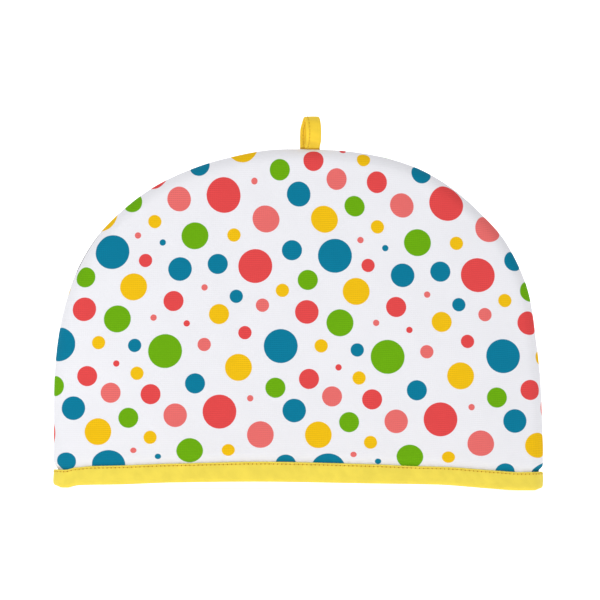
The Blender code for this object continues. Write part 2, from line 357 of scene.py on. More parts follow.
def table_curve(places, values, at):
    """Smooth curve through a short table, which never overshoots it."""
    places = np.asarray(places, float)
    values = np.asarray(values, float)
    secants = np.diff(values) / np.diff(places)
    product = secants[:-1] * secants[1:]
    total = secants[:-1] + secants[1:]
    total[total == 0] = 1
    middle = np.where(product <= 0, 0, 2 * product / total)
    slopes = np.concatenate([secants[:1], middle, secants[-1:]])
    i = np.clip(np.searchsorted(places, at, side="right") - 1, 0, len(places) - 2)
    span = places[i + 1] - places[i]
    t = np.clip((at - places[i]) / span, 0, 1)
    start = values[i] * (2 * t**3 - 3 * t**2 + 1) + slopes[i] * span * (t**3 - 2 * t**2 + t)
    end = values[i + 1] * (3 * t**2 - 2 * t**3) + slopes[i + 1] * span * (t**3 - t**2)
    return start + end


def table_value(table, column, at):
    """Smooth curve through one column of a table, read at places in its first column."""
    rows = np.array(table)
    return table_curve(rows[:, 0], rows[:, column], at)


def travelled_along(points):
    """Distance along a path from its first point to each of its points."""
    lengths = np.linalg.norm(np.diff(points, axis=0), axis=1)
    return np.concatenate([[0.0], np.cumsum(lengths)])


def resampled(points, travelled, even):
    """Points of a path, with whatever else their rows hold, at other distances along it."""
    return np.stack([np.interp(even, travelled, column) for column in points.T], 1)


NOISE_SHIFT = (3.7, 1.3, 2.1)


def soft_noise(points, size, seed):
    """Smooth noise from -1 to 1 at each point, with features of a size."""
    shift = Vector([seed * part for part in NOISE_SHIFT])
    return np.array([noise.noise(Vector(point) / size + shift) for point in points])


# Shape of the cosy

class Shape:
    """The padded walls' form, worked out from the settings."""

    def __init__(self, sizes):
        self.sizes = sizes
        self.spring = sizes.spring_height
        self.rise = CROWN_HEIGHT - sizes.spring_height
        turned = 2 / DOME_POWER
        self.corner_x = HALF_WIDTH * math.sin(CORNER_TURN) ** turned
        self.corner_z = self.spring + self.rise * math.cos(CORNER_TURN) ** turned
        self.tuck = sizes.binding_cloth + FIT_GAP
        self.binding_depth = 2 * self.tuck + HEM_THICKNESS
        self.stitch_height = sizes.binding_height - sizes.stitch_inset

    def hem_rise(self, x, side):
        """Height of the hem's lower edge above the table."""
        return table_value(HEM, 1 if side == FRONT else 2, x)

    def outline_top(self, x):
        """Height of the dome seam above a place along X."""
        across = np.minimum(np.abs(x) / HALF_WIDTH, 1.0)
        return self.spring + self.rise * (1 - across**DOME_POWER) ** (1 / DOME_POWER)

    def outline_side(self, z):
        """Half width of the dome seam at a height."""
        up = np.clip((z - self.spring) / self.rise, 0.0, 1.0)
        return HALF_WIDTH * (1 - up**DOME_POWER) ** (1 / DOME_POWER)

    def seam_reach(self, x, z):
        """How near the seam a place lies, 1 at the seam, and how fast and which way that grows."""
        across = np.maximum(np.abs(x) / HALF_WIDTH, 1e-9)
        up = np.maximum(z - self.spring, 0.0) / self.rise
        reach = (across**DOME_POWER + up**DOME_POWER) ** (1 / DOME_POWER)
        pull_x = across ** (DOME_POWER - 1) / HALF_WIDTH
        pull_z = up ** (DOME_POWER - 1) / self.rise
        pull = np.hypot(pull_x, pull_z)
        return reach, pull, np.sign(x) * pull_x / pull, pull_z / pull

    def seam_distance(self, x, z):
        """Distance from a place in the front view in to the dome seam."""
        reach, pull, _, _ = self.seam_reach(x, z)
        return np.maximum(1 - reach, 0) / (pull * reach ** (1 - DOME_POWER))

    def sagged(self, x, z):
        """Places in the front view after the soft seam has drawn the wall in."""
        reach, _, out_x, out_z = self.seam_reach(x, z)
        inset = table_value(SEAM_SAG, 1, np.degrees(np.arctan2(z, x)))
        inset = inset * np.minimum(reach, 1.0) ** SAG_POWER
        return x - out_x * inset, z - out_z * inset

    def roll_depth(self, distance):
        """Depth of the wall's rounded edge at a distance in from the seam."""
        roll = self.sizes.edge_roll
        short = roll - np.minimum(distance, roll)
        return np.sqrt(roll**2 - short**2)

    def roll_spare(self, distance):
        """Cloth that the rounded edge takes beyond its width in the front view."""
        roll = self.sizes.edge_roll
        turn = np.arccos(np.clip(1 - distance / roll, 0.0, 1.0))
        return roll * (math.pi / 2 - turn - np.cos(turn))

    def opening_depth(self, x, z, side):
        """How far the wall is pulled out beyond its rolled edge."""
        foot = self.hem_rise(x, side) + self.sizes.binding_height
        up = np.clip((z - foot) / (self.outline_top(x) - foot), 0.0, 1.0)
        across = np.minimum(np.abs(x) / HALF_WIDTH, 1.0)
        return self.sizes.hem_opening * (1 - across**OPENING_POWER) * (1 - up**BELLY_POWER)

    def wall_inset(self, x, above_hem, distance):
        """How far the outer face is drawn in under the binding, more at the two ends."""
        over = above_hem - table_value(HEM, 3, x)
        under_binding = 1 - ease(over, 0.0, TUCK_FADE)
        at_end = 1 - ease(distance, 0.0, END_TUCK_REACH)
        end_under = 1 - ease(over, 0.0, END_TUCK_FADE)
        return self.tuck * under_binding + END_TUCK * at_end * end_under

    def inner_offset(self, above_hem, distance):
        """Distance of the inner face behind the smooth outer face."""
        sizes = self.sizes
        thickening = ease(distance, 0.0, THICKENING_FROM_SEAM)
        padded = between(sizes.seam_thickness, sizes.wall_thickness, thickening)
        top = sizes.binding_height
        above = ease(above_hem, top, top + THICKENING_ABOVE_BINDING)
        return between(self.tuck + HEM_THICKNESS, padded, above)

    def roll_distances(self):
        """Distances in from the seam that follow the rounded edge evenly."""
        turns = np.linspace(0, math.pi / 2, ROLL_STEPS + 1)
        return self.sizes.edge_roll * (1 - np.cos(turns))

    def columns(self, step):
        """Places of a wall's columns from -1 at the left seam to 1 at the right seam."""
        left = self.roll_distances() / HALF_WIDTH - 1
        count = round(-2 * left[-1] * HALF_WIDTH / step)
        middle = np.linspace(left[-1], -left[-1], count + 1)
        return np.concatenate([left[:-1], middle, -left[:-1][::-1]])

    def rows(self, step):
        """Heights of a wall's rows on its side edge, up to the corner of the grid."""
        top = self.corner_z - self.roll_distances()[::-1] / CROWN_STRETCH
        count = round((top[0] - WALL_START) / step)
        low = np.linspace(WALL_START, top[0], count + 1)
        return np.concatenate([low[:-1], top])

    def wall_points(self, side, step):
        """Front-view places of a wall's grid and their heights above the hem, row by row."""
        across, height = np.meshgrid(self.columns(step), self.rows(step))
        x = across * self.outline_side(height)
        arch = (height / self.corner_z) ** ARCH_SHARE_POWER
        lift = (1 - arch) * self.hem_rise(x, side)
        crown = self.outline_top(across * self.corner_x) - self.corner_z
        z = height + lift + arch * crown
        return x, z, z - lift


# Mesh helpers

def grid(columns, rows):
    """New bmesh grid, its vertices in rows."""
    bm = bmesh.new()
    bmesh.ops.create_grid(bm, x_segments=columns - 1, y_segments=rows - 1, size=1.0)
    bm.verts.ensure_lookup_table()
    return bm


MERGE_DISTANCE = 0.000002


def swept_mesh(points, travelled, spans):
    """Bmesh of a closed section carried along a path, its points in rows of one section each."""
    columns = len(spans)
    bm = grid(columns, len(travelled))
    uv_layer = bm.loops.layers.uv.new("weave")
    for vert, point in zip(bm.verts, points):
        vert.co = point
    for face in bm.faces:
        for loop in face.loops:
            i, j = divmod(loop.vert.index, columns)
            loop[uv_layer].uv = (travelled[i], spans[j])
    bmesh.ops.remove_doubles(bm, verts=bm.verts, dist=MERGE_DISTANCE)
    return bm


def put(name, data, place=(0, 0, 0), turn=(0, 0, 0)):
    """New object in the scene that holds some data."""
    made = bpy.data.objects.new(name, data)
    made.location = place
    made.rotation_euler = turn
    bpy.context.scene.collection.objects.link(made)
    return made


def new_object(bm, name, materials):
    """Smooth-shaded object for a finished bmesh, or an error if it came out empty."""
    if not bm.faces:
        raise RuntimeError(f"{name} has no faces")
    mesh = bpy.data.meshes.new(name)
    bm.to_mesh(mesh)
    bm.free()
    mesh.shade_smooth()
    for material in materials:
        mesh.materials.append(material)
    return put(name, mesh)


def finish_piece(bm, name, materials):
    """Object for a finished bmesh, riding on the cosy's one body."""
    piece = new_object(bm, name, materials)
    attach(piece, BODY)
    return piece


# Stitches: beads of thread in a groove that is deepest at the needle holes

BEAD_SIDES = 6
BEAD_RINGS = 5
STITCH_LENGTH_SHARE = 0.72
THREAD_PROUD_SHARE = 0.1
STITCH_DIP = 0.00022


def add_stitch(bm, place, along, pitch, thread):
    """Add one stitch: a long bead of thread lying along a direction."""
    made = bmesh.ops.create_uvsphere(
        bm, u_segments=BEAD_SIDES, v_segments=BEAD_RINGS, radius=0.5
    )["verts"]
    bmesh.ops.scale(bm, vec=(pitch * STITCH_LENGTH_SHARE, thread, thread), verts=made)
    turn = Vector((1, 0, 0)).rotation_difference(along).to_matrix()
    bmesh.ops.rotate(bm, cent=(0, 0, 0), matrix=turn, verts=made)
    bmesh.ops.translate(bm, vec=place, verts=made)


def hole_wave(travelled, pitch):
    """1 at each needle hole and 0 halfway to the next."""
    return 0.5 + 0.5 * np.cos(2 * math.pi * travelled / pitch)


def groove(hole, aside, width, share_between):
    """Depth of the groove at a distance aside from a row of stitches, less between its holes."""
    near = math.exp(-((aside / width) ** 2))
    return STITCH_DIP * near * (share_between + (1 - share_between) * hole**4)


# Materials

NO_REPEAT = 2.0
# Painted shade round a needle hole: full inside the core, fading out to the edge
HOLE_CORE = 0.0003
HOLE_EDGE = 0.0008

# Part of a noise's range that is spread out from 0 to 1
NARROW_BAND = (0.35, 0.65)
WIDE_BAND = (0.3, 0.7)

# Printed cotton: its inks' uneven edges, its faint and strong ribs, and its pale clouds
INK_RIPPLE_SIZE = 0.0011
INK_RIPPLE = 0.0002
RIB_PATCH_SIZE = 0.014
RIB_FAINTEST = 0.25
RIB_DEPTH = 0.00010
RIB_SHADE = (0.05, 0.985)
# Ink painted darker in the ribs' hollows and lighter on their tops: painted shade and painted light
INK_SHARES = (0.92, 1.08)
PRINT_CLOUD_SIZE = 0.03
PRINT_CLOUD_SHARE = 0.985

# Plain cotton
PLAIN_SQUASH = 0.9
PLAIN_DEPTH = 0.00008
PLAIN_SHADE = (0.08, 0.95)
PLAIN_CLOUD_SIZE = 0.012
PLAIN_CLOUD_SHARES = (0.95, 1.03)
PLAIN_SHEEN = 0.1
INSIDE_SHEEN = 0.05

# Thread
TWIST_SIZE = 0.0004
TWIST_DEPTH = 0.00005
TWIST_SHARES = (0.8, 1.1)


class Nodes:
    """Short hand for building one material's node tree."""

    def __init__(self, name, roughness, specular=0.25):
        self.material = bpy.data.materials.new(name)
        self.material.use_nodes = True
        self.tree = self.material.node_tree
        self.shader = self.tree.nodes["Principled BSDF"]
        self.set("Roughness", roughness)
        self.set("Specular IOR Level", specular)

    def link(self, source, target):
        """Join an output to an input, or set the input to a plain value."""
        if hasattr(source, "is_output"):
            self.tree.links.new(source, target)
        else:
            target.default_value = source

    def node(self, kind, inputs, **settings):
        """New node with its settings, its inputs joined or set by name or number."""
        node = self.tree.nodes.new("ShaderNode" + kind)
        for name, value in settings.items():
            setattr(node, name, value)
        for socket, value in inputs.items():
            self.link(value, node.inputs[socket])
        return node

    def math(self, operation, *values):
        """Math node's result."""
        return self.node("Math", dict(enumerate(values)), operation=operation).outputs[0]

    def vector(self, operation, *values):
        """Vector math node's result."""
        return self.node("VectorMath", dict(enumerate(values)), operation=operation).outputs[0]

    def length(self, vector):
        """Length of a vector."""
        return self.node("VectorMath", {0: vector}, operation="LENGTH").outputs["Value"]

    def mix(self, share, first, second):
        """Colour between two colours."""
        inputs = {"Factor": share, 6: first, 7: second}
        return self.node("Mix", inputs, data_type="RGBA").outputs[2]

    def spread(self, value, low, high, to_low, to_high):
        """Value carried from one range to another, held at its ends."""
        inputs = {
            "Value": value,
            "From Min": low,
            "From Max": high,
            "To Min": to_low,
            "To Max": to_high,
        }
        return self.node("MapRange", inputs, interpolation_type="SMOOTHSTEP").outputs[0]

    def noise(self, vector, size, detail=2.0):
        """Noise factor with features of a size in metres."""
        inputs = {"Vector": vector, "Scale": 1 / size, "Detail": detail}
        return self.node("TexNoise", inputs).outputs[0]

    def map_of(self, name):
        """Vector of the piece's own UV map."""
        return self.node("UVMap", {}, uv_map=name).outputs[0]

    def parts(self, vector):
        """X, Y and Z of a vector."""
        return self.node("SeparateXYZ", {0: vector}).outputs

    def bump(self, height, distance, strength):
        """Bump on the shader from a height of 0 to 1."""
        inputs = {"Height": height, "Distance": distance, "Strength": strength}
        self.set("Normal", self.node("Bump", inputs).outputs[0])

    def set(self, name, source):
        """Set or join one of the shader's inputs."""
        self.link(source, self.shader.inputs[name])

    def weave_shaded_colour(self, source, height, shade):
        """Set the base colour with painted shade in the weave's hollows, scaled by the weave's
        height: shade is its slope and its level.
        """
        level = self.math("MULTIPLY_ADD", height, *shade)
        self.set("Base Color", self.vector("MULTIPLY", source, level))


def rgba(colour, share=1.0):
    """Opaque colour, dimmed or brightened to a share."""
    return (colour[0] * share, colour[1] * share, colour[2] * share, 1.0)


def weave_height(made, vector, across_pitch, up_pitch):
    """Height of a plain weave with its own pitch each way, from 0 to 1."""

    def wave(turns):
        return made.math("MULTIPLY_ADD", made.math("SINE", turns), 0.5, 0.5)

    parts = made.parts(vector)
    turns_across = made.math("MULTIPLY", parts[0], 2 * math.pi / across_pitch)
    turns_up = made.math("MULTIPLY", parts[1], 2 * math.pi / up_pitch)
    over = wave(made.math("MULTIPLY", turns_across, 0.5))
    across = made.math("MULTIPLY", wave(turns_across), over)
    return made.math("MAXIMUM", across, wave(turns_up))


def nearest_spot(made, vector, spots, repeat_across, repeat_up):
    """Distance outside the nearest of some round spots, (across, up, radius), that repeat."""
    if not spots:
        raise ValueError("there are no spots to repeat")
    half = (repeat_across / 2, repeat_up / 2, 1.0)
    other_half = (-half[0], -half[1], -1.0)
    nearest = None
    for across, up, radius in spots:
        away = made.vector("SUBTRACT", vector, (across, up, 0.0))
        wrapped = made.vector("WRAP", away, half, other_half)
        outside = made.math("SUBTRACT", made.length(wrapped), radius)
        nearest = outside if nearest is None else made.math("MINIMUM", nearest, outside)
    return nearest


def dots_cover(made, vector, ink, edge):
    """Share of the cloth that one ink covers, 0 or 1 but for the dots' soft edges."""
    spots = [
        (across / 1000, up / 1000, DOT_WIDTHS[size] / 2)
        for across, up, size, dot_ink in DOTS
        if dot_ink == ink
    ]
    outside = nearest_spot(made, vector, spots, REPEAT_ACROSS, REPEAT_UP)
    return made.spread(outside, -edge, edge, 1.0, 0.0)


def printed_cotton(colours, cloth):
    """White ribbed cotton with its dots printed on."""
    made = Nodes("printed_cotton", 0.9, 0.08)
    place = made.map_of("print")
    ripple = made.noise(place, INK_RIPPLE_SIZE, 1.0)
    shaken = made.vector("SUBTRACT", ripple, (0.5, 0.5, 0.5))
    shaken = made.vector("MULTIPLY", shaken, (INK_RIPPLE, INK_RIPPLE, INK_RIPPLE))
    inked_place = made.vector("ADD", place, shaken)
    height = weave_height(made, place, cloth.rib_pitch * 0.5, cloth.rib_pitch)
    patches = made.noise(place, RIB_PATCH_SIZE, 1.0)
    strength = made.spread(patches, *NARROW_BAND, RIB_FAINTEST, 1.0)
    rib = made.math("MULTIPLY", made.math("SUBTRACT", height, 0.5), strength)
    cloudy = made.spread(made.noise(place, PRINT_CLOUD_SIZE), *WIDE_BAND, 0.0, 1.0)
    colour = made.mix(cloudy, rgba(colours.cotton, PRINT_CLOUD_SHARE), rgba(colours.cotton))
    for ink in INKS:
        cover = dots_cover(made, inked_place, ink, cloth.ink_edge)
        # Painted shade on the ink in the ribs' hollows, and painted light on their tops
        low, high = (rgba(getattr(colours, ink), share) for share in INK_SHARES)
        inked = made.mix(made.spread(rib, -0.5, 0.5, 0.0, 1.0), low, high)
        colour = made.mix(cover, colour, inked)
    made.weave_shaded_colour(colour, rib, RIB_SHADE)
    made.bump(height, RIB_DEPTH, 0.6)
    return made.material


def needle_hole_shading(made, vector, pitch, rows):
    """Share of painted shade in the dents round the needle holes of some rows of stitches."""
    outside = nearest_spot(made, vector, [(0.0, row, 0.0) for row in rows], pitch, NO_REPEAT)
    return made.spread(outside, HOLE_CORE, HOLE_EDGE, 1.0, 0.0)


def plain_cotton(name, colour, cloth, map_name, sheen, painted_shade=None, shade_colour=None):
    """Plain woven cotton in one colour, with painted shade in a darker colour where a given function
    gives its share.
    """
    made = Nodes(name, 0.85, 0.15)
    place = made.map_of(map_name)
    height = weave_height(made, place, cloth.plain_pitch, cloth.plain_pitch * PLAIN_SQUASH)
    cloudy = made.spread(made.noise(place, PLAIN_CLOUD_SIZE), *WIDE_BAND, 0.0, 1.0)
    low, high = (rgba(colour, share) for share in PLAIN_CLOUD_SHARES)
    tinted = made.mix(cloudy, low, high)
    # Painted shade round the needle holes, where a function for it is given
    if painted_shade:
        tinted = made.mix(painted_shade(made, place), tinted, rgba(shade_colour))
    made.weave_shaded_colour(tinted, height, PLAIN_SHADE)
    made.bump(height, PLAIN_DEPTH, 0.6)
    made.set("Sheen Weight", sheen)
    made.set("Sheen Roughness", 0.5)
    return made.material


def thread_material(colour):
    """Twisted gold sewing thread."""
    made = Nodes("thread", 0.6)
    place = made.node("TexCoord", {}).outputs["Object"]
    twist = made.noise(place, TWIST_SIZE, 1.0)
    low, high = (rgba(colour, share) for share in TWIST_SHARES)
    made.set("Base Color", made.mix(made.spread(twist, *NARROW_BAND, 0.0, 1.0), low, high))
    made.bump(twist, TWIST_DEPTH, 0.5)
    return made.material


# Padded walls

THINNEST_WALL = 0.001
SWELL_SEED = 5
DIMPLE_SEED = 9
DRIFT_SEED = 13
DRIFT_SIZE = 0.03
SEAM_DRIFT = 2.5
HEM_DRIFT = 3.0
SWELL_FROM_SEAM = 0.02
SWELL_ABOVE_HEM = (0.013, 0.03)
PUCKERS_ABOVE_HEM = (0.010, 0.0135)
PUCKER_CENTRE_SHARE = 0.8


def print_place(x, z, side):
    """Where on the printed cloth a point of the wall's front view lies."""
    seen_x = x if side == FRONT else -x
    leaning = CROWN_LEAN * ease(z, CROWN_START, CROWN_START + CROWN_LEAN_REACH)
    gathered = HEM_GATHER * (1 - ease(z, HEM_SEWN, HEM_GATHER_END)) * seen_x
    from_corner = seen_x - PRINT_CORNER[0] + leaning + gathered
    pulled = CROWN_PULL * ease(z, CROWN_START + CROWN_PULL_DELAY, CROWN_HEIGHT)
    lifted = HEM_LIFT * (1 - ease(z, HEM_SEWN, HEM_LIFT_END))
    above_corner = z - PRINT_CORNER[1] + PRINT_BOW * seen_x**2 - pulled - lifted
    across = from_corner * math.cos(PRINT_TURN) - above_corner * math.sin(PRINT_TURN)
    up = from_corner * math.sin(PRINT_TURN) + above_corner * math.cos(PRINT_TURN)
    if side == BACK:
        across = across + BACK_CUT_SHIFT[0]
        up = up + BACK_CUT_SHIFT[1]
    return across, up


def wall_relief(points, above_hem, distance, shape, side):
    """Soft unevenness of the cloth over its wadding, along the wall's normal."""
    swell = soft_noise(points, SWELL_SIZE, SWELL_SEED + side) * SWELL_HEIGHT
    dimple = soft_noise(points, DIMPLE_SIZE, DIMPLE_SEED + side) * DIMPLE_HEIGHT
    inner = ease(distance, 0.0, SWELL_FROM_SEAM) * ease(above_hem, *SWELL_ABOVE_HEM)
    x = points[:, 0]
    z = points[:, 2]
    around = np.arctan2(x, z - shape.spring * PUCKER_CENTRE_SHARE) * HALF_WIDTH
    drift = soft_noise(points, DRIFT_SIZE, DRIFT_SEED + side)
    seam_wave = np.sin(2 * math.pi * around / SEAM_PUCKER_PITCH + SEAM_DRIFT * drift)
    seam = SEAM_PUCKER_HEIGHT * seam_wave * np.exp(-distance / SEAM_PUCKER_REACH)
    hem_wave = np.sin(2 * math.pi * x / HEM_PUCKER_PITCH + HEM_DRIFT * drift)
    over_hem = np.maximum(above_hem - shape.sizes.binding_height, 0.0)
    hem = HEM_PUCKER_HEIGHT * hem_wave * np.exp(-over_hem / HEM_PUCKER_REACH)
    shown = ease(above_hem, *PUCKERS_ABOVE_HEM) * ease(distance, 0.0, SEAM_HELD)
    return (swell + dimple) * inner + (seam + hem) * shown


def make_wall(shape, side, materials):
    """One padded wall: a fine grid laid on the dome, with its inside cloth behind it."""
    x, z, above_hem = shape.wall_points(side, CLOTH_STEP)
    rows, columns = x.shape
    x = x.ravel()
    z = z.ravel()
    above_hem = above_hem.ravel()
    distance = shape.seam_distance(x, z)
    _, _, out_x, out_z = shape.seam_reach(x, z)
    depth = SEAM_GAP / 2 + shape.roll_depth(distance) + shape.opening_depth(x, z, side)
    x, z = shape.sagged(x, z)
    points = np.stack([x, side * depth, z], 1)
    spare = shape.roll_spare(distance) * ROLL_SHARE
    across, up = print_place(x + out_x * spare, z + out_z * spare, side)
    relief = wall_relief(points, above_hem, distance, shape, side)
    outer = shape.wall_inset(x, above_hem, distance)
    inner = np.maximum(shape.inner_offset(above_hem, distance), outer + THINNEST_WALL)
    bm = grid(columns, rows)
    uv_layer = bm.loops.layers.uv.new("print")
    for vert, point in zip(bm.verts, points):
        vert.co = point
    if side == BACK:
        bmesh.ops.reverse_faces(bm, faces=bm.faces)
    bm.normal_update()
    outer_verts = list(bm.verts)
    for face in bm.faces:
        for loop in face.loops:
            loop[uv_layer].uv = (across[loop.vert.index], up[loop.vert.index])
    normals = [vert.normal.copy() for vert in outer_verts]
    # The faces at the seam are too narrow for a steady normal, so the seam's own direction serves
    for i in np.nonzero(distance < SEAM_GAP)[0]:
        normals[i] = Vector((out_x[i], 0.0, out_z[i]))
    rim = [edge for edge in bm.edges if edge.is_boundary]
    copied = bmesh.ops.duplicate(bm, geom=bm.verts[:] + bm.edges[:] + bm.faces[:])
    twin_of = copied["vert_map"]
    inside_faces = [thing for thing in copied["geom"] if isinstance(thing, bmesh.types.BMFace)]
    for i, vert in enumerate(outer_verts):
        smooth_face = Vector(points[i])
        twin = twin_of[vert]
        vert.co = smooth_face + normals[i] * (relief[i] - outer[i])
        twin.co = smooth_face - normals[i] * inner[i]
        for made in (vert, twin):
            made.co.y = side * max(side * made.co.y, SEAM_GAP / 2)
    bmesh.ops.reverse_faces(bm, faces=inside_faces)
    for face in inside_faces:
        face.material_index = 1
    inner_rim = [copied["edge_map"][edge] for edge in rim]
    bridged = bmesh.ops.bridge_loops(bm, edges=rim + inner_rim)
    for face in bridged["faces"]:
        face.material_index = 1
    for edge in rim + inner_rim:
        edge.smooth = False
    bmesh.ops.recalc_face_normals(bm, faces=bm.faces)
    piece = finish_piece(bm, WALLS[side] + "_cloth", materials)
    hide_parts(WALLS[side])
    return piece


# Binding

BINDING_STEP = 0.00075
HEM_PATH_STEP = 0.0012
CORNER_LIFT = 0.0013
CORNER_REACH = 0.0048

# Its groove of stitches, the slanting drag of its cloth, and its slight belly
GROOVE_STEP = 0.0003
GROOVE_WIDTH = 0.0007
GROOVE_SHARE_BETWEEN = 0.35
FACE_STEPS = 9
DRAG_PITCH = 0.011
DRAG_HEIGHT = 0.00012
DRAG_SLANT = 0.8
DRAG_WANDER = 2.0
DRAG_WANDER_RATE = 61.0
DRAG_BACK_SHARE = 0.6
FACE_BELLY = 0.00018
FACE_START_SHARE = 0.5
FACE_EASE = 0.004
FACE_DEPTH_SHARE = 0.4
EDGE_NOTCH = 0.00012


def hem_path(shape):
    """Plan of the hem along the binding's outer face: (x, y, rise), directions out, distances."""
    fine = shape.columns(HEM_PATH_STEP)[1:-1] * HALF_WIDTH
    points = []
    for side in (FRONT, BACK):
        points.append((side * HALF_WIDTH, 0.0, 0.0))
        x = -side * fine
        depth = SEAM_GAP / 2 + shape.roll_depth(HALF_WIDTH - np.abs(x))
        depth = depth + shape.opening_depth(x, np.zeros_like(x), side)
        points += list(zip(x, side * depth, shape.hem_rise(x, side)))
    points = np.array(points + points[:1])
    travelled = travelled_along(points[:, :2])
    stitches = round(travelled[-1] / shape.sizes.stitch_pitch)
    count = stitches * round(shape.sizes.stitch_pitch / BINDING_STEP)
    even = np.linspace(0.0, travelled[-1], count, endpoint=False)
    path = resampled(points, travelled, even)
    ahead = np.roll(path, -1, axis=0)[:, :2] - np.roll(path, 1, axis=0)[:, :2]
    ahead = ahead / np.linalg.norm(ahead, axis=1)[:, None]
    outwards = np.stack([ahead[:, 1], -ahead[:, 0]], 1)
    return path, outwards, even


def arc(centre_n, centre_z, radius, start, end, steps):
    """Points (n, z) of an arc, its angles in degrees from +n towards +z."""
    points = []
    for i in range(steps + 1):
        turn = math.radians(between(start, end, i / steps))
        points.append((centre_n + radius * math.cos(turn), centre_z + radius * math.sin(turn)))
    return points


def binding_section(shape):
    """Closed section of the folded strip, n outwards and z up from the hem."""
    sizes = shape.sizes
    back_face = -shape.binding_depth
    half = sizes.binding_cloth / 2
    top = sizes.binding_height - half
    outer = sizes.binding_round
    inner = outer - sizes.binding_cloth
    stitch = shape.stitch_height
    heights = [top] + [stitch + GROOVE_STEP * i for i in (2, 1, 0, -1, -2)]
    heights += list(np.linspace(stitch - 4 * GROOVE_STEP, outer + 2 * GROOVE_STEP, FACE_STEPS))
    section = [(0.0, z) for z in heights]
    section += arc(-outer, outer, outer, 0, -90, 5)
    section += arc(back_face + outer, outer, outer, -90, -180, 5)
    section += [(back_face, z) for z in reversed(heights)][:-1]
    section += arc(back_face + half, top, half, 180, 0, 4)
    section += arc(back_face + outer, outer, inner, 180, 270, 3)
    section += arc(-outer, outer, inner, -90, 0, 3)
    section += arc(-half, top, half, 180, 0, 4)[:-1]
    return section


def running_lengths(section):
    """Distances round a closed section, from its first place to each one and back again."""
    lengths = [0.0]
    for first, second in zip(section, section[1:] + section[:1]):
        lengths.append(lengths[-1] + math.dist(first, second))
    return lengths


def binding_painted_shade(shape):
    """Painted shade round the needle holes of the binding's two rows of stitches, for its cloth."""
    section = binding_section(shape)
    lengths = running_lengths(section)
    rows = [lengths[i] for i, (_, z) in enumerate(section) if z == shape.stitch_height]
    return lambda made, place: needle_hole_shading(made, place, shape.sizes.stitch_pitch, rows)


def binding_level(shape, x, z):
    """Height above the hem of a place in the section, lower where the binding is narrower."""
    start = shape.sizes.binding_round
    if z <= start:
        return np.full(len(x), float(z))
    share = (z - start) / (shape.sizes.binding_height - start)
    return between(start, table_value(HEM, 3, x), share)


def binding_surface(shape, path, outwards, even, n, z):
    """Points of the binding at one place of its section, all the way round."""
    sizes = shape.sizes
    top = sizes.binding_height
    n_all = np.full(len(even), float(n))
    from_end = HALF_WIDTH - np.abs(path[:, 0])
    rounded = CORNER_LIFT * (1 - ease(from_end, 0.0, CORNER_REACH)) * (1 - z / top)
    z_all = binding_level(shape, path[:, 0], z) + rounded
    hole = hole_wave(even, sizes.stitch_pitch)
    dip = groove(hole, z - shape.stitch_height, GROOVE_WIDTH, GROOVE_SHARE_BETWEEN)
    drag_turn = 2 * math.pi * (even + z * DRAG_SLANT) / DRAG_PITCH
    drag = np.sin(drag_turn + DRAG_WANDER * np.sin(even * DRAG_WANDER_RATE)) * DRAG_HEIGHT
    belly = FACE_BELLY * math.sin(math.pi * min(max(z / shape.stitch_height, 0.0), 1.0))
    on_face = z > sizes.binding_round * FACE_START_SHARE
    near_face = sizes.binding_cloth * FACE_DEPTH_SHARE
    eased = min(z / FACE_EASE, 1.0)
    if n > -near_face and on_face:
        n_all = n_all - dip + (drag + belly) * eased
    if n < -shape.binding_depth + near_face and on_face:
        n_all = n_all + dip - (drag * DRAG_BACK_SHARE) * eased
    if z > top - sizes.binding_cloth:
        z_all = z_all - EDGE_NOTCH * hole
    x = path[:, 0] + outwards[:, 0] * n_all
    y = path[:, 1] + outwards[:, 1] * n_all
    return np.stack([x, y, path[:, 2] + z_all], 1)


def make_binding(shape, material):
    """Binding: its folded section carried once round the hem and joined to its own start."""
    path, outwards, even = hem_path(shape)
    section = binding_section(shape)
    spans = running_lengths(section)
    lines = [binding_surface(shape, path, outwards, even, n, z) for n, z in section]
    total = even[-1] + even[1]
    travelled = list(even) + [total]
    points = [
        lines[j % len(section)][i % len(even)]
        for i in range(len(travelled))
        for j in range(len(spans))
    ]
    bm = swept_mesh(points, travelled, spans)
    bmesh.ops.recalc_face_normals(bm, faces=bm.faces)
    piece = finish_piece(bm, "binding_cloth", [material])
    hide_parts(BINDING)
    return piece


def make_binding_stitches(shape, material):
    """Edge stitching of the binding: one buried thread bead between each two needle holes."""
    sizes = shape.sizes
    path, outwards, even = hem_path(shape)
    per_stitch = round(sizes.stitch_pitch / BINDING_STEP)
    stitch_z = binding_level(shape, path[:, 0], shape.stitch_height)
    floor = STITCH_DIP * GROOVE_SHARE_BETWEEN
    bm = bmesh.new()
    for n, face_out in ((-floor, 1), (-shape.binding_depth + floor, -1)):
        for i in range(per_stitch // 2, len(even), per_stitch):
            before = Vector(path[i - 1])
            after = Vector(path[(i + 1) % len(path)])
            along = (after - before).normalized()
            out = Vector((*outwards[i], 0.0))
            place = Vector(path[i]) + out * (n + face_out * sizes.thread * THREAD_PROUD_SHARE)
            place.z += stitch_z[i]
            add_stitch(bm, place, along, sizes.stitch_pitch, sizes.thread)
    piece = finish_piece(bm, "binding_stitches", [material])
    return piece


# Loop

TAPE_STEP = 0.0005
ROUTE_SAMPLES = 600
TAPE_STITCH_INSET = 0.0024
TAPE_STITCH_PITCH = 0.0026
TAPE_GROOVE_STEP = 0.0003
TAPE_GROOVE_WIDTH = 0.0005
TAPE_GROOVE_SHARE_BETWEEN = 0.4
TAPE_FACE_START = 0.0007
TAPE_FACE_STEPS = 12
TAPE_HOLE_SHARE = 0.45
# Painted shadow on the tape's feet, fading out above where they go into the seam
FOOT_SHADE_END = 0.0097
FOOT_SHADE_FADE = 0.0010
FOOT_SHADE = 0.8
CREASE_HEIGHT = 0.00010
CREASE_RATE_ALONG = 900
CREASE_RATE_ACROSS = 500
CREASE_WIDTH_SHARE = 0.42


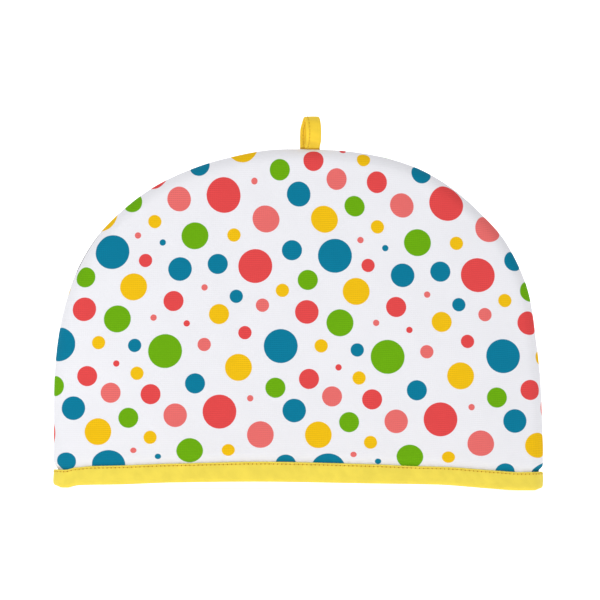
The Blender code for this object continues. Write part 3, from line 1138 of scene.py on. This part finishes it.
def loop_frames():
    """Even steps along the tape's middle: place, direction across, direction out, travelled."""
    columns = list(zip(*LOOP_ROUTE))
    stations = np.arange(len(LOOP_ROUTE))
    fine = np.linspace(0, len(LOOP_ROUTE) - 1, ROUTE_SAMPLES)
    route = np.stack([table_curve(stations, column, fine) for column in columns], 1)
    travelled = travelled_along(route[:, :3])
    count = round(travelled[-1] / TAPE_STEP)
    even = np.linspace(0.0, travelled[-1], count + 1)
    route = resampled(route, travelled, even)
    frames = []
    for i, (x, y, z, turn) in enumerate(route):
        before = Vector(route[max(i - 1, 0)][:3])
        after = Vector(route[min(i + 1, count)][:3])
        along = (after - before).normalized()
        turned = math.radians(turn)
        across = Vector((math.cos(turned), -math.sin(turned), 0.0))
        out = along.cross(across).normalized()
        frames.append((Vector((x, y, z)), across, -out, even[i]))
    return frames


def tape_stitch(width):
    """Place across the tape of its row of stitches."""
    return -width / 2 + TAPE_STITCH_INSET


def tape_section(width):
    """Closed section of the folded tape, (across, out): rounded edges and a stitched groove."""
    half = TAPE_THICKNESS / 2
    side = width / 2 - half
    stitch = tape_stitch(width)
    places = [-side, stitch - TAPE_GROOVE_STEP, stitch, stitch + TAPE_GROOVE_STEP]
    places += list(np.linspace(stitch + TAPE_FACE_START, side, TAPE_FACE_STEPS))
    front = [(place, half) for place in places]
    back = [(place, -half) for place in reversed(places)]
    right = arc(side, 0.0, half, 90, -90, 6)[1:-1]
    left = arc(-side, 0.0, half, 270, 90, 6)[1:-1]
    return front + right + back + left


def loop_painted_shade(shape):
    """Painted shade round the tape's needle holes, and painted shadow on its two feet where they go
    into the seam.
    """
    section = tape_section(shape.sizes.tape_width)
    lengths = running_lengths(section)
    stitch = tape_stitch(shape.sizes.tape_width)
    rows = [lengths[i] for i, (a, _) in enumerate(section) if a == stitch]
    tape_length = loop_frames()[-1][3]

    def painted_shade(made, place):
        holes = needle_hole_shading(made, place, TAPE_STITCH_PITCH, rows)
        holes = made.math("MULTIPLY", holes, TAPE_HOLE_SHARE)
        # Painted shadow on the tape's two feet, near both ends of the tape
        travelled = made.parts(place)[0]
        other_end = made.math("SUBTRACT", tape_length, travelled)
        from_end = made.math("MINIMUM", travelled, other_end)
        fade_start = FOOT_SHADE_END - FOOT_SHADE_FADE
        foot = made.spread(from_end, fade_start, FOOT_SHADE_END, FOOT_SHADE, 0.0)
        return made.math("MAXIMUM", holes, foot)

    return painted_shade


def make_loop(shape, material):
    """Tape loop: the folded tape's section carried along its route, its ends closed."""
    frames = loop_frames()
    width = shape.sizes.tape_width
    section = tape_section(width)
    stitch = tape_stitch(width)
    spans = running_lengths(section)
    points = []
    for place, across, out, travelled in frames:
        hole = hole_wave(travelled, TAPE_STITCH_PITCH)
        for a, o in section + section[:1]:
            dip = groove(hole, a - stitch, TAPE_GROOVE_WIDTH, TAPE_GROOVE_SHARE_BETWEEN)
            crease_turn = travelled * CREASE_RATE_ALONG + a * CREASE_RATE_ACROSS
            crease = CREASE_HEIGHT * math.sin(crease_turn)
            creased = crease * (abs(a) < width * CREASE_WIDTH_SHARE)
            points.append(place + across * a + out * (o - math.copysign(dip, o) + creased))
    bm = swept_mesh(points, [frame[3] for frame in frames], spans)
    bmesh.ops.holes_fill(bm, edges=[edge for edge in bm.edges if edge.is_boundary])
    bmesh.ops.recalc_face_normals(bm, faces=bm.faces)
    piece = finish_piece(bm, "loop_tape", [material])
    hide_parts(LOOP)
    return piece


def make_loop_stitches(shape, material):
    """Stitches along the tape's folded edge, on both faces."""
    sizes = shape.sizes
    frames = loop_frames()
    stitch = tape_stitch(sizes.tape_width)
    floor = STITCH_DIP * TAPE_GROOVE_SHARE_BETWEEN
    lift = TAPE_THICKNESS / 2 - floor + sizes.thread * THREAD_PROUD_SHARE
    per_stitch = TAPE_STITCH_PITCH / TAPE_STEP
    bm = bmesh.new()
    for k in range(int((len(frames) - 1) / per_stitch)):
        i = min(round((k + 0.5) * per_stitch), len(frames) - 2)
        place, across, out, _ = frames[i]
        along = (frames[i + 1][0] - frames[i - 1][0]).normalized()
        for face_out in (1, -1):
            middle = place + across * stitch + out * face_out * lift
            add_stitch(bm, middle, along, TAPE_STITCH_PITCH, sizes.thread)
    piece = finish_piece(bm, "loop_stitches", [material])
    return piece


# Stage

BACKDROP_NEAR = -4.5
BACKDROP_FAR = 1.6
BACKDROP_HIGH = 3.0
BACKDROP_SIDE = 3.5
BACKDROP_CURVE = 0.9
BACKDROP_CURVE_STEPS = 12
FLOOR_GREY = (0.62, 0.62, 0.62, 1.0)
WHITE = (1.0, 1.0, 1.0, 1.0)
FLOOR_GLOW = 0.75
SENSOR_WIDTH = 36.0
CAMERA_REACH = 40.0
LIT_MIDDLE = (0.0, 0.0, 0.12)
LAMPS = (
    # name, place, target, size, share of the key lamp's power
    ("key", (-1.1, -1.5, 1.1), LIT_MIDDLE, 1.2, 1.0),
    ("fill", (1.2, -1.8, 0.5), LIT_MIDDLE, 1.4, 0.4),
    ("behind", (0.0, 1.1, 2.2), (0.0, 2.4, 0.9), 2.0, 2.0),
)


def make_backdrop():
    """Pale floor that curves up behind into a backdrop, which views from behind look through."""
    bm = bmesh.new()
    radius = BACKDROP_CURVE
    profile = [(BACKDROP_NEAR, 0.0)]
    profile += arc(BACKDROP_FAR, radius, radius, -90, 0, BACKDROP_CURVE_STEPS)
    profile.append((BACKDROP_FAR + radius, BACKDROP_HIGH))
    verts = [bm.verts.new((-BACKDROP_SIDE, y, z)) for y, z in profile]
    edges = [bm.edges.new(pair) for pair in zip(verts, verts[1:])]
    swept = bmesh.ops.extrude_edge_only(bm, edges=edges)
    moved = [thing for thing in swept["geom"] if isinstance(thing, bmesh.types.BMVert)]
    bmesh.ops.translate(bm, vec=(2 * BACKDROP_SIDE, 0, 0), verts=moved)
    bmesh.ops.recalc_face_normals(bm, faces=bm.faces)
    floor = min(bm.faces, key=lambda face: face.calc_center_median().z)
    if floor.normal.z < 0:
        bmesh.ops.reverse_faces(bm, faces=bm.faces)
    made = Nodes("backdrop", 0.9)
    made.set("Base Color", FLOOR_GREY)
    made.set("Emission Color", WHITE)
    made.set("Emission Strength", FLOOR_GLOW)
    behind = made.node("NewGeometry", {}).outputs["Backfacing"]
    made.set("Alpha", made.math("SUBTRACT", 1.0, behind))
    new_object(bm, "backdrop", [made.material])


def add_area(name, place, target, size, power):
    """Square area lamp at a place, facing a target."""
    lamp = bpy.data.lights.new(name, "AREA")
    lamp.shape = "SQUARE"
    lamp.size = size
    lamp.energy = power
    aim = Vector(target) - Vector(place)
    put(name, lamp, place, aim.to_track_quat("-Z", "Y").to_euler())


def add_camera(stage):
    """Level camera square to the front, its picture's middle and width as in the photo."""
    camera = bpy.data.cameras.new("camera")
    camera.sensor_width = SENSOR_WIDTH
    camera.lens = SENSOR_WIDTH * stage.distance / stage.view_width
    camera.clip_end = CAMERA_REACH
    place = (stage.view_middle_x, -stage.distance, stage.view_middle_z)
    turn = (math.radians(90), stage.roll, 0.0)
    bpy.context.scene.camera = put("camera", camera, place, turn)


def add_light(stage):
    """Even white light all round, two large lamps in front, and one on the backdrop."""
    world = bpy.data.worlds.new("studio")
    world.use_nodes = True
    background = world.node_tree.nodes["Background"]
    background.inputs["Color"].default_value = WHITE
    background.inputs["Strength"].default_value = stage.light
    bpy.context.scene.world = world
    bpy.context.scene.view_settings.view_transform = "Standard"
    for name, place, target, size, share in LAMPS:
        add_area(name, place, target, size, stage.key * share)


# Operators, one for each group of pieces

def stitched_cotton(name, colour, scene, painted_shade):
    """Plain yellow cotton with painted shade round its needle holes."""
    # Colour of the painted shade round the needle holes
    hole = scene.cosy_colours.hole_shade_colour
    return plain_cotton(name, colour, scene.cosy_cloth, "weave", PLAIN_SHEEN, painted_shade, hole)


class COSY_OT_walls(bpy.types.Operator):
    """Make the two padded walls in their printed cotton"""

    bl_idname = "cosy.walls"
    bl_label = "Padded walls"

    def execute(self, context):
        shape = Shape(context.scene.cosy_sizes)
        colours = context.scene.cosy_colours
        cloth = context.scene.cosy_cloth
        printed = printed_cotton(colours, cloth)
        inside = plain_cotton("inside_cotton", colours.inside, cloth, "print", INSIDE_SHEEN)
        make_wall(shape, FRONT, [printed, inside])
        make_wall(shape, BACK, [printed, inside])
        return {"FINISHED"}


class COSY_OT_binding(bpy.types.Operator):
    """Fold the yellow binding over the hem and stitch it"""

    bl_idname = "cosy.binding"
    bl_label = "Hem binding"

    def execute(self, context):
        scene = context.scene
        shape = Shape(scene.cosy_sizes)
        colour = scene.cosy_colours.binding
        cotton = stitched_cotton("binding_cotton", colour, scene, binding_painted_shade(shape))
        make_binding(shape, cotton)
        make_binding_stitches(shape, thread_material(scene.cosy_colours.thread))
        return {"FINISHED"}


class COSY_OT_loop(bpy.types.Operator):
    """Fold the tape loop into the top seam"""

    bl_idname = "cosy.loop"
    bl_label = "Hanging loop"

    def execute(self, context):
        scene = context.scene
        shape = Shape(scene.cosy_sizes)
        colour = scene.cosy_colours.loop
        make_loop(shape, stitched_cotton("loop_cotton", colour, scene, loop_painted_shade(shape)))
        make_loop_stitches(shape, thread_material(scene.cosy_colours.thread))
        return {"FINISHED"}


class COSY_OT_stage(bpy.types.Operator):
    """Set up the pale floor, the light and the camera"""

    bl_idname = "cosy.stage"
    bl_label = "Stage"

    def execute(self, context):
        make_backdrop()
        add_light(context.scene.cosy_stage)
        add_camera(context.scene.cosy_stage)
        return {"FINISHED"}


class COSY_PT_panel(bpy.types.Panel):
    """Lists the cosy's operators and settings in the sidebar"""

    bl_label = "Tea cosy"
    bl_idname = "COSY_PT_panel"
    bl_space_type = "VIEW_3D"
    bl_region_type = "UI"
    bl_category = "Tea cosy"

    def draw(self, context):
        for operator in OPERATORS:
            self.layout.operator(operator.bl_idname)
        for group in SETTINGS:
            settings = getattr(context.scene, group)
            box = self.layout.box()
            for name in settings.__annotations__:
                box.prop(settings, name)


OPERATORS = (COSY_OT_walls, COSY_OT_binding, COSY_OT_loop, COSY_OT_stage)
SETTINGS = {
    "cosy_sizes": CosySizes,
    "cosy_colours": CosyColours,
    "cosy_cloth": CosyCloth,
    "cosy_stage": CosyStage,
}


def register():
    """Register the settings, the operators and the panel."""
    for name, group in SETTINGS.items():
        bpy.utils.register_class(group)
        setattr(bpy.types.Scene, name, bpy.props.PointerProperty(type=group))
    for thing in OPERATORS:
        bpy.utils.register_class(thing)
    bpy.utils.register_class(COSY_PT_panel)


def unregister():
    """Take away what register added."""
    bpy.utils.unregister_class(COSY_PT_panel)
    for thing in reversed(OPERATORS):
        bpy.utils.unregister_class(thing)
    for name, group in SETTINGS.items():
        delattr(bpy.types.Scene, name)
        bpy.utils.unregister_class(group)


def main():
    """Make the whole cosy and its stage."""
    register()
    bpy.ops.cosy.walls()
    bpy.ops.cosy.binding()
    bpy.ops.cosy.loop()
    bpy.ops.cosy.stage()


if __name__ == "__main__":
    main()
